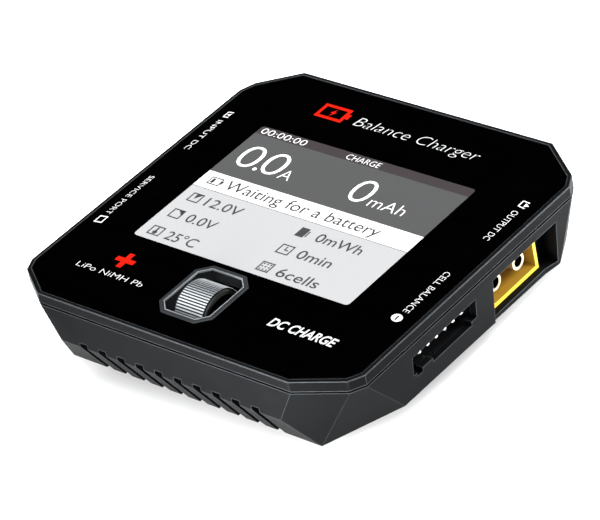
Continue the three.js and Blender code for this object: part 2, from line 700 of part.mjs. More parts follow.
function fanRotor() {
  const bottom = FAN.bottom + FAN.plate + 0.5;
  const top = FAN.top - GAP;
  let rotor = rodZ(0, 0, bottom, top, FAN.hub, 32);
  for (let i = 0; i < BLADE.count; i += 1) {
    const blade = new THREE.BoxGeometry(BLADE.length, BLADE.thick, BLADE.chord);
    blade.translate(FAN.hub + BLADE.reach, 0, 0);
    blade.rotateX(BLADE.twist);
    blade.rotateZ((2 * Math.PI * i) / BLADE.count);
    blade.translate(0, 0, (bottom + top) / 2);
    rotor = joined(rotor, solid(blade));
  }
  return rotor.translate([FAN.x, FAN.y, 0]);
}

place('fan_frame', fanFrame(), blackPlastic);
place('fan_rotor', fanRotor(), blackPlastic);
fanScrewPlaces().forEach(([x, y], i) => {
  const head = rodZ(x, y, FAN.top, FAN.top + FAN_SCREW.headHeight, FAN_SCREW.head, 16);
  const shank = rodZ(x, y, FAN_SCREW.bottom, FAN.top + FAN_SCREW.headHeight / 2, FAN_SCREW.shank, 12);
  place(`fan_screw_${i + 1}`, joined(head, shank), steel);
});

// ---------------------------------------------------------------- roller control

const ARM_INNER = WHEEL.width / 2 + WHEEL.shoulder + ARM.clearance;
const ARM_OUTER = ARM_INNER + ARM.thick;
const BAR_BOTTOM = WHEEL.z - WHEEL.radius - 1.0;

// The drum's outline: each ridge is a flat crest, a short slope, a flat valley and a slope back.
function ridgedOutline() {
  const crest = WHEEL.radius;
  const valley = WHEEL.radius - WHEEL_RIDGES.depth;
  const profile = [[0, crest], [0.5, crest], [0.6, valley], [0.9, valley]];
  const step = (2 * Math.PI) / WHEEL_RIDGES.count;
  const outline = [];
  for (let i = 0; i < WHEEL_RIDGES.count; i += 1) {
    for (const [share, radius] of profile) {
      const angle = (i + share) * step;
      outline.push([radius * Math.cos(angle), radius * Math.sin(angle)]);
    }
  }
  return outline;
}

// The ridged drum, with a smaller shoulder and a dished face on each side, bored for its axle.
function selectorWheel() {
  const half = WHEEL.width / 2;
  const full = half + WHEEL.shoulder;
  const floor = half - WHEEL_RIDGES.dishDepth;
  const drum = prism(ridgedOutline(), 'x', -half, half);
  const shoulders = rodX(-full, full, 0, 0, WHEEL.radius - WHEEL_RIDGES.shoulderDrop, 40);
  const dish = rodX(floor, full + 1, 0, 0, WHEEL_RIDGES.dish, 32);
  const hub = rodX(-full, full, 0, 0, WHEEL_RIDGES.hub);
  const body = joined(cut(joined(drum, shoulders), dish, dish.mirror([1, 0, 0])), hub);
  const bored = cut(body, rodX(-full - 1, full + 1, 0, 0, AXLE.radius + AXLE.wheelGap));
  return bored.translate([WHEEL.x, WHEEL.y, WHEEL.z]);
}

// The yoke that holds the wheel, slides in the guide and carries the tab over the push switch.
function wheelYoke() {
  const bar = box(-ARM_OUTER, ARM_OUTER, -ARM.half, ARM.half, BAR_BOTTOM, BAR_BOTTOM + 0.6);
  const arm = box(ARM_INNER, ARM_OUTER, -ARM.half, ARM.half, BAR_BOTTOM, WHEEL.z + ARM.above);
  const root = box(ARM_INNER, ARM_OUTER, TAB.y, -ARM.half + 0.5, TAB.bottom, TAB.top);
  const tab = box(ARM_INNER, TAB.reach, TAB.y, -ARM.half, TAB.bottom, TAB.top);
  const holes = rodX(-ARM_OUTER - 1, ARM_OUTER + 1, 0, WHEEL.z, AXLE.radius + AXLE.armGap, 20);
  const yoke = cut(joined(bar, arm, arm.mirror([1, 0, 0]), tab, root), holes);
  return yoke.translate([WHEEL.x, WHEEL.y, 0]);
}

// The guide on the board: a base plate and two upright rails outside the yoke's arms.
function yokeGuide() {
  const railInner = ARM_OUTER + GAP;
  const railOuter = railInner + RAIL.thick;
  const base = box(-railOuter, railOuter, -RAIL.half, RAIL.half, BOARD_TOP, BOARD_TOP + RAIL.base);
  const rail = box(railInner, railOuter, -RAIL.half, RAIL.half, BOARD_TOP, RAIL.top);
  return joined(base, rail, rail.mirror([1, 0, 0])).translate([WHEEL.x, WHEEL.y, 0]);
}

function switchBody() {
  const body = block(SWITCH.x, SWITCH.y, SWITCH.size, SWITCH.size, BOARD_TOP, SWITCH.top);
  return cut(body, rodZ(SWITCH.x, SWITCH.y, BOARD_TOP + 0.6, TOP, SWITCH.plunger + GAP, 16));
}

function switchPlunger() {
  const bottom = BOARD_TOP + 0.8 + WHEEL_TRAVEL;
  return rodZ(SWITCH.x, SWITCH.y, bottom, SWITCH.plungerTop, SWITCH.plunger, 16);
}

const axleEnd = ARM_OUTER - 0.05;
const wheelAxle = rodX(WHEEL.x - axleEnd, WHEEL.x + axleEnd, WHEEL.y, WHEEL.z, AXLE.radius, 20);
place('selector_wheel', selectorWheel(), silverPlastic);
place('wheel_axle', wheelAxle, steel);
place('wheel_yoke', wheelYoke(), blackPlastic);
place('yoke_guide', yokeGuide(), blackPlastic);
place('push_switch_body', switchBody(), steel);
place('push_switch_plunger', switchPlunger(), blackPlastic);

export default group;
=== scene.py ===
import math

import bmesh
import bpy
from mathutils import Matrix, Vector


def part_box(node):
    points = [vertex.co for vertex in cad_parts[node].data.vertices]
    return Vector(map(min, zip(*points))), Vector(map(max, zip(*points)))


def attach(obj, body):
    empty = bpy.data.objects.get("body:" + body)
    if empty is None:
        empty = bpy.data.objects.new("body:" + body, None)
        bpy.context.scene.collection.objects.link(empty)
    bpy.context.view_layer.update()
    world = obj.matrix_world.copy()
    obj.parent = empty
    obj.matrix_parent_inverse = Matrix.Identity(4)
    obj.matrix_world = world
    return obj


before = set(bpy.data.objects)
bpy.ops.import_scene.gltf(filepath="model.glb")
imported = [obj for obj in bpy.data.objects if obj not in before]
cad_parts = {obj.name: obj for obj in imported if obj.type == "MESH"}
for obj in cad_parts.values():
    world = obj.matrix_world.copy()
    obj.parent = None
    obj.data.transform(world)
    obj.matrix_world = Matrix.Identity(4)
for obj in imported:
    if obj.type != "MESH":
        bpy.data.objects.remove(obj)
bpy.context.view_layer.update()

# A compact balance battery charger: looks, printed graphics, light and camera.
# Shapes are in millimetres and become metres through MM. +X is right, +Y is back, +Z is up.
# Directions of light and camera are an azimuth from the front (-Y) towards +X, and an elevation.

MM = 0.001

# ---------------------------------------------------------------- driving dimensions

GLASS_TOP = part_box("cover_glass")[1].z / MM
FOLD_X = 30.0                   # the top is flat inside this and falls away outside it
FOLD_SLOPE = 0.13               # fall of the side wings, mm per mm

SCREEN_LEFT, SCREEN_RIGHT = -25.8, 25.8
SCREEN_BOTTOM, SCREEN_TOP = -17.4, 21.4
SCREEN_CORNER = 0.8
HEADER_BOTTOM = 18.9            # lower edges of the screen's bands
READINGS_BOTTOM = 5.2
MESSAGE_BOTTOM = 0.15
RULE_WIDTH = 0.15               # grey line under the message
READINGS_BASE = 8.6             # baselines of the lettering on the screen
HEADER_BASE = 19.25
DETAIL_BASES = (-4.5, -10.1, -16.1)
DETAIL_COLUMNS = (-19.5, 7.5)
ICON_LINE = 0.28

RING_WIDTH = 1.0                # face of the roller control's ring
RING_INNER_CHAMFER = 1.91
CHAMFER_SHARE = 0.59            # how much the ring's chamfer grows per mm outwards
RING_HIGHLIGHT_WIDTH = 0.15               # painted highlight: a bright strip round the ring's inner edge
RING_HIGHLIGHT_PROUD = 0.02
RING_HIGHLIGHT_INSIDE = 0.35              # how far the highlight strip runs down inside the ring
RING_HIGHLIGHT_OUTSIDE = 0.05

PRINT_WEIGHT = -0.014           # change of the strokes' width, in the font's own size
GREY_WEIGHT = 0.002
TITLE_WEIGHT = -0.022
SUPPLY_WEIGHT = 0.02
LETTER_DEPTH = 0.5              # half the depth of raw lettering, before it is pressed flat
LABEL_HEIGHTS = {"left": 1.35, "right": 1.25}
ROUND_STEPS = 6                 # straight pieces in a rounded corner

PICTURE_LIFT = 0.012            # the screen's fields lie this far over the glass
PRINT_LIFT = 0.028              # lettering on the screen or the glass
PRINT_THICK = 0.01

CAMERA_AZIMUTH = 46.0
CAMERA_ELEVATION = 34.7
CAMERA_ROLL = -12.35
CAMERA_DISTANCE = 0.6122
CAMERA_LENS = 202.6
CAMERA_AIM = Vector((0.0091, -0.01034, 0.0195))

FLOOR_HALF = 4.0                # metres, as the camera's place and the panels' size are
PANEL_WIDTH, PANEL_HEIGHT = 0.06, 0.03
SUNS = [                        # name, azimuth, elevation, strength, softness in degrees
    ("key_light", 80, 62, 1.4, 40),
    ("fill_light", -35, 45, 0.6, 50),
]
PANELS = [                      # name, place, target, watts, whether glossy surfaces show it
    ("front_panel", (32, -115, 20), (20, -40, 12), 0.28, True),
    ("right_panel", (115, 66, 20), (40, 34, 12), 0.34, True),
    ("back_panel", (-20, 115, 20), (-10, 40, 12), 0.25, False),
    ("left_panel", (-115, 20, 20), (-40, 10, 12), 0.25, False),
]
OVERHEAD = 4.0                  # strength of the soft light straight above
OVERHEAD_FROM, OVERHEAD_TO = 0.78, 0.97     # height on the unit sky where it starts and is full

# ---------------------------------------------------------------- materials

NYLON_SHADE_DEPTH = 5.0               # how far into a connector the painted shade keeps browning its nylon
NYLON_HIGHLIGHT_BAND = 0.3                 # painted highlight: a bright band at a connector's mouth
EDGE_HIGHLIGHT_WIDTH = 0.22                # width of the painted highlight along a sharp edge
SLOTS_FROM_Y = 33.0             # the vent slots lie outside this
SLOTS_TO_X = 24.0               # and inside this
HOLLOW_REACH = 3.0              # how far across a slot or recess the painted shade still reaches
OPEN_FACE, DEEP_HOLLOW = 0.97, 0.72         # openness of a clear face, left unshaded, and of a hollow in full painted shade
HIGHLIGHT_TURN = 0.93                # cosine of the rounding that gets the full painted highlight
CHEEK_TURN = 0.3                # a slot's side wall faces towards X by more than this
NOISE_LOW, NOISE_HIGH = 0.3, 0.7            # where most of a noise pattern lies
DRIFT_SIZE = 9.0                # patches of slow colour change
ROUGH_LOW, ROUGH_HIGH = 0.85, 1.2           # spread of a surface's roughness
COLOUR_FIRST, COLOUR_SECOND, COLOUR_OUT = 6, 7, 2   # a Mix node's colour sockets

# painted highlights along the sharp edges of the case and of the rim
CASE_EDGE_HIGHLIGHT = (0.060, 0.068, 0.074)
RIM_EDGE_HIGHLIGHT = (0.115, 0.125, 0.132)
# near-black painted shade for hollows and for the vent slots' side walls
PAINTED_SHADE = (0.0015, 0.0016, 0.0018)
# painted shade in the roller's valleys and deep in towards its axle
WHEEL_SHADE = (0.003, 0.003, 0.0035)
WHEEL_SHOULDER = (0.055, 0.054, 0.053)
WHEEL_SILVER = (0.90, 0.95, 0.98)
WHEEL_STOPS = [                 # depth under the ridge crests and the colour there; the darkest stops are painted shade
    (1.16, WHEEL_SHADE), (1.12, WHEEL_SHOULDER), (0.33, WHEEL_SHOULDER), (0.30, WHEEL_SHADE),
    (0.08, WHEEL_SHADE), (0.035, WHEEL_SILVER),
]
# painted shade deep in a connector, the nylon's own amber at its front, and painted highlights at its
# mouth and edges
NYLON_SHADED = (0.16, 0.075, 0.010)
NYLON_FRONT = (0.46, 0.26, 0.025)
NYLON_FACE_HIGHLIGHT = (0.46, 0.31, 0.022)
NYLON_EDGE_HIGHLIGHT = (0.80, 0.60, 0.04)
INK_LOW = (0.0002, 0.0002, 0.00025)
INK_HIGH = (0.0004, 0.0004, 0.0005)


def new_material(name):
    material = bpy.data.materials.new(name)
    material.use_nodes = True
    tree = material.node_tree
    return material, tree, tree.nodes["Principled BSDF"]


def set_sockets(shader, values):
    for socket, value in values.items():
        shader.inputs[socket].default_value = value


def noise(tree, size_mm, detail=3.0, stretch=(1, 1, 1)):
    """A noise pattern whose features measure size_mm, fixed to the part."""
    place = tree.nodes.new("ShaderNodeTexCoord")
    scale = tree.nodes.new("ShaderNodeMapping")
    scale.inputs["Scale"].default_value = stretch
    pattern = tree.nodes.new("ShaderNodeTexNoise")
    pattern.inputs["Scale"].default_value = 1 / (size_mm * MM)
    pattern.inputs["Detail"].default_value = detail
    tree.links.new(place.outputs["Object"], scale.inputs["Vector"])
    tree.links.new(scale.outputs["Vector"], pattern.inputs["Vector"])
    return pattern.outputs["Fac"]


def blended(tree, factor, low, high):
    """A colour that runs from low to high as the factor runs over its middle range."""
    ramp = tree.nodes.new("ShaderNodeValToRGB")
    ramp.color_ramp.elements[0].position = NOISE_LOW
    ramp.color_ramp.elements[0].color = (*low, 1)
    ramp.color_ramp.elements[1].position = NOISE_HIGH
    ramp.color_ramp.elements[1].color = (*high, 1)
    tree.links.new(factor, ramp.inputs["Fac"])
    return ramp.outputs["Color"]


def spread(tree, factor, low, high):
    """A number from low to high, driven by a noise factor."""
    fit = tree.nodes.new("ShaderNodeMapRange")
    fit.inputs["From Min"].default_value = NOISE_LOW
    fit.inputs["From Max"].default_value = NOISE_HIGH
    fit.inputs["To Min"].default_value = low
    fit.inputs["To Max"].default_value = high
    tree.links.new(factor, fit.inputs["Value"])
    return fit.outputs["Result"]


def roughen(tree, shader, pattern, depth_mm):
    """Turn a pattern into relief of this depth."""
    bump = tree.nodes.new("ShaderNodeBump")
    bump.inputs["Distance"].default_value = depth_mm * MM
    bump.inputs["Strength"].default_value = 1.0
    tree.links.new(pattern, bump.inputs["Height"])
    tree.links.new(bump.outputs["Normal"], shader.inputs["Normal"])


def edge_highlight_mask(tree, radius_mm):
    """About 1 along the part's sharp edges and 0 on its faces: where a painted highlight goes."""
    rounded = tree.nodes.new("ShaderNodeBevel")
    rounded.inputs["Radius"].default_value = radius_mm * MM
    rounded.samples = 6
    geometry = tree.nodes.new("ShaderNodeNewGeometry")
    dot = tree.nodes.new("ShaderNodeVectorMath")
    dot.operation = "DOT_PRODUCT"
    tree.links.new(rounded.outputs["Normal"], dot.inputs[0])
    tree.links.new(geometry.outputs["Normal"], dot.inputs[1])
    fit = tree.nodes.new("ShaderNodeMapRange")
    fit.inputs["From Min"].default_value = 1.0
    fit.inputs["From Max"].default_value = HIGHLIGHT_TURN
    tree.links.new(dot.outputs["Value"], fit.inputs["Value"])
    return fit.outputs["Result"]


def hollow_shade_mask(tree, reach_mm):
    """About 1 deep inside the part's own slots and recesses and 0 on its open faces: where painted
    shade goes.
    """
    openness = tree.nodes.new("ShaderNodeAmbientOcclusion")
    openness.inputs["Distance"].default_value = reach_mm * MM
    openness.samples = 8
    openness.only_local = True
    fit = tree.nodes.new("ShaderNodeMapRange")
    fit.inputs["From Min"].default_value = OPEN_FACE
    fit.inputs["From Max"].default_value = DEEP_HOLLOW
    tree.links.new(openness.outputs["AO"], fit.inputs["Value"])
    return fit.outputs["Result"]


def slot_shade_mask(tree):
    """1 on the side walls of the front and back vent slots and 0 elsewhere: where painted shade goes.
    """
    place = tree.nodes.new("ShaderNodeTexCoord")
    limits = [
        ("Normal", "X", "GREATER_THAN", CHEEK_TURN),
        ("Object", "Y", "GREATER_THAN", SLOTS_FROM_Y * MM),
        ("Object", "X", "LESS_THAN", SLOTS_TO_X * MM),
    ]
    product = None
    for source, axis, test, limit in limits:
        split = tree.nodes.new("ShaderNodeSeparateXYZ")
        tree.links.new(place.outputs[source], split.inputs["Vector"])
        size = tree.nodes.new("ShaderNodeMath")
        size.operation = "ABSOLUTE"
        tree.links.new(split.outputs[axis], size.inputs[0])
        inside = tree.nodes.new("ShaderNodeMath")
        inside.operation = test
        inside.inputs[1].default_value = limit
        tree.links.new(size.outputs[0], inside.inputs[0])
        if product is None:
            product = inside.outputs[0]
            continue
        both = tree.nodes.new("ShaderNodeMath")
        both.operation = "MULTIPLY"
        tree.links.new(product, both.inputs[0])
        tree.links.new(inside.outputs[0], both.inputs[1])
        product = both.outputs[0]
    return product


def mixed(tree, factor, first, second):
    """The first colour, giving way to the fixed second one as the factor nears 1."""
    mix = tree.nodes.new("ShaderNodeMix")
    mix.data_type = "RGBA"
    tree.links.new(factor, mix.inputs["Factor"])
    tree.links.new(first, mix.inputs[COLOUR_FIRST])
    mix.inputs[COLOUR_SECOND].default_value = (*second, 1)
    return mix.outputs[COLOUR_OUT]


def surface(
    name, colour, rough, grain_mm, depth_mm,
    mottle=0.12, edge_highlight=None, hollow_shade=None, cheek_shade=None, stretch=(1, 1, 1), **sockets
):
    """A surface with fine grain and slow colour drift, and, if given, a painted highlight along its
    sharp edges, painted shade in its hollows and painted shade on the vent slots' side walls.
    """
    material, tree, shader = new_material(name)
    low = [c * (1 - mottle) for c in colour]
    high = [c * (1 + mottle) for c in colour]
    paint = blended(tree, noise(tree, DRIFT_SIZE), low, high)
    # painted highlight along the sharp edges
    if edge_highlight is not None:
        paint = mixed(tree, edge_highlight_mask(tree, EDGE_HIGHLIGHT_WIDTH), paint, edge_highlight)
    # painted shade in the part's own slots and recesses
    if hollow_shade is not None:
        paint = mixed(tree, hollow_shade_mask(tree, HOLLOW_REACH), paint, hollow_shade)
    # painted shade on the vent slots' side walls
    if cheek_shade is not None:
        paint = mixed(tree, slot_shade_mask(tree), paint, cheek_shade)
    tree.links.new(paint, shader.inputs["Base Color"])
    grain = noise(tree, grain_mm, stretch=stretch)
    gloss = spread(tree, grain, rough * ROUGH_LOW, rough * ROUGH_HIGH)
    tree.links.new(gloss, shader.inputs["Roughness"])
    roughen(tree, shader, grain, depth_mm)
    set_sockets(shader, {k.replace("_", " "): v for k, v in sockets.items()})
    return material


def lit_field(name, colour, glow):
    """A glowing field of the display picture, with faint fine streaks along its width."""
    material, tree, shader = new_material(name)
    rows = noise(tree, 0.18, detail=1.0, stretch=(0.4, 1, 1))
    low = [c * 0.97 for c in colour]
    high = [min(1.0, c * 1.02) for c in colour]
    paint = blended(tree, rows, low, high)
    tree.links.new(paint, shader.inputs["Base Color"])
    tree.links.new(paint, shader.inputs["Emission Color"])
    tree.links.new(spread(tree, noise(tree, 6.0), 0.28, 0.36), shader.inputs["Roughness"])
    set_sockets(shader, {"Emission Strength": glow, "Specular IOR Level": 0.15})
    return material


def cover_glass():
    """An opaque polished black, as of inked glass, with faint wipe marks in its gloss."""
    material, tree, shader = new_material("black_cover_glass")
    wipes = noise(tree, 7.0, detail=6.0, stretch=(1, 3, 1))
    ink = blended(tree, wipes, INK_LOW, INK_HIGH)
    tree.links.new(ink, shader.inputs["Base Color"])
    tree.links.new(spread(tree, wipes, 0.05, 0.11), shader.inputs["Roughness"])
    roughen(tree, shader, noise(tree, 12.0), 0.002)
    set_sockets(shader, {"Specular IOR Level": 0.10})
    return material


def roller_plastic():
    """Silver ridge crests with painted shade in the valleys and deep in, and dark flanks, found from
    the distance to the axle.
    """
    material, tree, shader = new_material("roller_silver")
    low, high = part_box("selector_wheel")
    centre = (low + high) / 2
    radius = (high.z - low.z) / 2
    place = tree.nodes.new("ShaderNodeTexCoord")
    offset = tree.nodes.new("ShaderNodeVectorMath")
    offset.operation = "SUBTRACT"
    offset.inputs[1].default_value = centre
    tree.links.new(place.outputs["Object"], offset.inputs[0])
    across = tree.nodes.new("ShaderNodeVectorMath")
    across.operation = "MULTIPLY"
    across.inputs[1].default_value = (0, 1, 1)
    tree.links.new(offset.outputs["Vector"], across.inputs[0])
    length = tree.nodes.new("ShaderNodeVectorMath")
    length.operation = "LENGTH"
    tree.links.new(across.outputs["Vector"], length.inputs[0])
    level = tree.nodes.new("ShaderNodeMapRange")
    level.inputs["From Min"].default_value = 0.0
    level.inputs["From Max"].default_value = radius
    tree.links.new(length.outputs["Value"], level.inputs["Value"])
    ramp = tree.nodes.new("ShaderNodeValToRGB")
    stops = ramp.color_ramp.elements
    stops[0].position = 0.0
    stops[0].color = (*WHEEL_SHADE, 1)
    stops[1].position = 1.0
    stops[1].color = (*WHEEL_SILVER, 1)
    for under_crest_mm, colour in WHEEL_STOPS:
        stop = stops.new(1 - under_crest_mm * MM / radius)
        stop.color = (*colour, 1)
    tree.links.new(level.outputs["Result"], ramp.inputs["Fac"])
    tree.links.new(ramp.outputs["Color"], shader.inputs["Base Color"])
    grain = noise(tree, 0.12)
    tree.links.new(spread(tree, grain, 0.26, 0.38), shader.inputs["Roughness"])
    roughen(tree, shader, grain, 0.004)
    set_sockets(shader, {"Metallic": 0.8})
    return material


def amber_nylon():
    """Opaque amber nylon, with a painted highlight at its mouth and along its edges, and painted shade
    that browns it with depth.
    """
    material, tree, shader = new_material("amber_nylon")
    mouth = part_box("output_connector")[1].x
    place = tree.nodes.new("ShaderNodeTexCoord")
    split = tree.nodes.new("ShaderNodeSeparateXYZ")
    tree.links.new(place.outputs["Object"], split.inputs["Vector"])
    outward = tree.nodes.new("ShaderNodeMath")
    outward.operation = "ABSOLUTE"
    tree.links.new(split.outputs["X"], outward.inputs[0])
    depth = tree.nodes.new("ShaderNodeMapRange")
    depth.inputs["From Min"].default_value = mouth - NYLON_SHADE_DEPTH * MM
    depth.inputs["From Max"].default_value = mouth - NYLON_HIGHLIGHT_BAND * MM
    tree.links.new(outward.outputs[0], depth.inputs["Value"])
    # painted shade: browner deeper in
    body = blended(tree, depth.outputs["Result"], NYLON_SHADED, NYLON_FRONT)
    rim = tree.nodes.new("ShaderNodeMapRange")
    rim.inputs["From Min"].default_value = mouth - NYLON_HIGHLIGHT_BAND * MM
    rim.inputs["From Max"].default_value = mouth - NYLON_HIGHLIGHT_BAND * MM / 2
    tree.links.new(outward.outputs[0], rim.inputs["Value"])
    # painted highlight at the mouth
    lit = mixed(tree, rim.outputs["Result"], body, NYLON_FACE_HIGHLIGHT)
    # painted highlight along the edges
    lit = mixed(tree, edge_highlight_mask(tree, EDGE_HIGHLIGHT_WIDTH), lit, NYLON_EDGE_HIGHLIGHT)
    tree.links.new(lit, shader.inputs["Base Color"])
    grain = noise(tree, 0.2)
    tree.links.new(spread(tree, grain, 0.32, 0.44), shader.inputs["Roughness"])
    roughen(tree, shader, grain, 0.006)
    return material


# the case gets a painted highlight along its edges, and painted shade in its hollows and on its vent
# slots' side walls
CASE = surface(
    "case_plastic", (0.0056, 0.0060, 0.0064), 0.38, 0.16, 0.006,
    edge_highlight=CASE_EDGE_HIGHLIGHT, hollow_shade=PAINTED_SHADE, cheek_shade=PAINTED_SHADE, Specular_IOR_Level=0.015,
)
# painted highlight along the rim's sharp edges
RIM = surface(
    "rim_plastic", (0.0048, 0.0051, 0.0055), 0.34, 0.16, 0.005, edge_highlight=RIM_EDGE_HIGHLIGHT, Specular_IOR_Level=0.015
)
# painted shade in the ring's hollows
RING = surface(
    "ring_plastic", (0.030, 0.032, 0.034), 0.45, 0.16, 0.005, hollow_shade=PAINTED_SHADE, Specular_IOR_Level=0.1
)
GLASS = cover_glass()
SILVER = roller_plastic()
BLACK = surface(
    "black_plastic", (0.004, 0.004, 0.0045), 0.5, 0.14, 0.005, Specular_IOR_Level=0.12
)
# satin chrome, used only for the painted highlight strip on the ring
HIGHLIGHT_CHROME = surface("satin_chrome", (0.62, 0.65, 0.68), 0.34, 0.08, 0.001, mottle=0.05, Metallic=0.6)
NYLON = amber_nylon()
# painted shade darkens the gold in its holes and hollows
GOLD = surface(
    "gold_plate", (0.66, 0.58, 0.42), 0.3, 0.1, 0.001,
    mottle=0.03, hollow_shade=(0.03, 0.02, 0.008), Metallic=0.85,
)
TIN = surface("tin_plate", (0.95, 0.95, 0.95), 0.3, 0.1, 0.001, mottle=0.03, Metallic=0.4)
STEEL = surface("zinc_steel", (0.45, 0.46, 0.48), 0.34, 0.08, 0.002, stretch=(1, 8, 1), Metallic=1.0)
ALUMINIUM = surface(
    "brushed_aluminium", (0.62, 0.64, 0.66), 0.36, 0.06, 0.003, stretch=(12, 1, 1), Metallic=1.0
)
BOARD = surface("solder_mask", (0.008, 0.045, 0.022), 0.36, 0.5, 0.01, mottle=0.2, Coat_Weight=0.4)
FERRITE = surface("pressed_ferrite", (0.06, 0.062, 0.065), 0.72, 0.3, 0.02, mottle=0.25)
RUBBER = surface("foot_rubber", (0.012, 0.012, 0.012), 0.85, 0.25, 0.015, mottle=0.2)
FILM = surface("polyimide_film", (0.55, 0.25, 0.06), 0.3, 0.4, 0.002, Coat_Weight=0.3)
LCD = surface("display_face", (0.60, 0.61, 0.61), 0.3, 0.2, 0.001, mottle=0.03)

WHITE_INK = surface("white_ink", (0.85, 0.85, 0.85), 0.45, 0.15, 0.001, mottle=0.03)
RED_INK = surface(
    "red_ink", (0.68, 0.011, 0.003), 0.5, 0.15, 0.001, mottle=0.05, Specular_IOR_Level=0.08
)
FIELD_DARK = lit_field("screen_header", (0.052, 0.044, 0.047), 0.05)
FIELD_GREY = lit_field("screen_grey", (0.088, 0.088, 0.088), 0.05)
FIELD_WHITE = lit_field("screen_white", (0.86, 0.86, 0.86), 0.35)
FIELD_LIGHT = lit_field("screen_light", (0.47, 0.47, 0.47), 0.12)
LETTER_WHITE = lit_field("screen_letters_white", (0.95, 0.95, 0.95), 0.4)
LETTER_GREY = lit_field("screen_letters_grey", (0.06, 0.06, 0.06), 0.0)

# ---------------------------------------------------------------- CAD nodes

NODE_MATERIALS = {
    "lower_shell": CASE,
    "upper_frame": RIM,
    "wheel_ring": RING,
    "cover_glass": GLASS,
    "selector_wheel": SILVER,
    "display_panel": LCD,
    "display_backlight": STEEL,
    "display_ribbon": FILM,
    "circuit_board": BOARD,
    "processor": BLACK,
    "current_shunt": STEEL,
    "input_fuse": TIN,
    "buzzer": BLACK,
    "heat_sink": ALUMINIUM,
    "thermal_pad": RUBBER,
    "balance_header": BLACK,
    "service_socket": STEEL,
    "service_tongue": BLACK,
    "fan_frame": BLACK,
    "fan_rotor": BLACK,
    "wheel_axle": STEEL,
    "wheel_yoke": BLACK,
    "yoke_guide": BLACK,
    "push_switch_body": STEEL,
    "push_switch_plunger": BLACK,
    "output_connector": NYLON,
    "input_connector": NYLON,
}
FAMILY_MATERIALS = {
    "case_screw": STEEL,
    "fan_screw": STEEL,
    "rubber_foot": RUBBER,
    "power_inductor": FERRITE,
    "input_capacitor": ALUMINIUM,
    "output_capacitor": ALUMINIUM,
    "output_contact": GOLD,
    "input_contact": GOLD,
    "balance_pin": TIN,
}
SHARP_ANGLE = 28                # an edge that turns by more degrees than this is eased
BEVELS_MM = {
    "lower_shell": 0.08,
    "upper_frame": 0.18,
    "wheel_ring": 0.14,
    "cover_glass": 0.08,
    "output_connector": 0.14,
    "input_connector": 0.14,
    "balance_header": 0.1,
    "service_socket": 0.08,
}


def node_material(node):
    if node in NODE_MATERIALS:
        return NODE_MATERIALS[node]
    return FAMILY_MATERIALS[node.rsplit("_", 1)[0]]


def ease_edges(obj, width_mm):
    """Round the sharp edges by modifiers, so that the node's own mesh stays as it is."""
    weld = obj.modifiers.new("weld", "WELD")
    weld.merge_threshold = 0.001 * MM
    bevel = obj.modifiers.new("bevel", "BEVEL")
    bevel.width = width_mm * MM
    bevel.segments = 2
    bevel.limit_method = "ANGLE"
    bevel.angle_limit = math.radians(SHARP_ANGLE)
    bevel.use_clamp_overlap = True
    bevel.miter_outer = "MITER_ARC"


def dress_nodes():
    for node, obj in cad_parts.items():
        obj.data.materials.clear()
        obj.data.materials.append(node_material(node))
        if node in BEVELS_MM:
            ease_edges(obj, BEVELS_MM[node])


def finish_piece(name, mesh, material):
    """Put a mesh in the scene with one material, riding on the case."""
    obj = bpy.data.objects.new(name, mesh)
    bpy.context.scene.collection.objects.link(obj)
    mesh.materials.clear()
    mesh.materials.append(material)
    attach(obj, "case")
    return obj


def octagon(centre, half_x, half_y, chamfer):
    """A rectangle's outline with its four corners cut."""
    x, y = centre
    corner = [(half_x, half_y - chamfer), (half_x - chamfer, half_y)]
    other = [(-px, py) for px, py in reversed(corner)]
    upper = corner + other
    return [(x + px, y + py) for px, py in upper + [(-px, -py) for px, py in upper]]


def ring_edge_highlight():
    """A painted highlight: a satin chrome strip round the inner edge of the roller control's ring."""
    low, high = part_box("wheel_ring")
    centre = ((low.x + high.x) / 2 / MM, (low.y + high.y) / 2 / MM)
    half_x = (high.x - low.x) / 2 / MM - RING_WIDTH
    half_y = (high.y - low.y) / 2 / MM - RING_WIDTH
    top = high.z / MM
    profile = [
        (-RING_HIGHLIGHT_PROUD, top - RING_HIGHLIGHT_INSIDE), (-RING_HIGHLIGHT_PROUD, top + RING_HIGHLIGHT_PROUD),
        (RING_HIGHLIGHT_WIDTH, top + RING_HIGHLIGHT_PROUD), (RING_HIGHLIGHT_WIDTH, top - RING_HIGHLIGHT_OUTSIDE),
    ]
    work = bmesh.new()
    loops = []
    for out, level in profile:
        chamfer = RING_INNER_CHAMFER + out * CHAMFER_SHARE
        outline = octagon(centre, half_x + out, half_y + out, chamfer)
        loops.append([work.verts.new(Vector((x, y, level)) * MM) for x, y in outline])
    for i, loop in enumerate(loops):
        after = loops[(i + 1) % len(loops)]
        for j in range(len(loop)):
            k = (j + 1) % len(loop)
            work.faces.new([loop[j], loop[k], after[k], after[j]])
    bmesh.ops.recalc_face_normals(work, faces=work.faces)
    mesh = bpy.data.meshes.new("ring_edge_highlight")
    work.to_mesh(mesh)
    work.free()
    finish_piece("ring_edge_highlight", mesh, HIGHLIGHT_CHROME)


# ---------------------------------------------------------------- print on the glass


def glass_level(x):
    return GLASS_TOP - FOLD_SLOPE * max(0.0, abs(x) - FOLD_X)


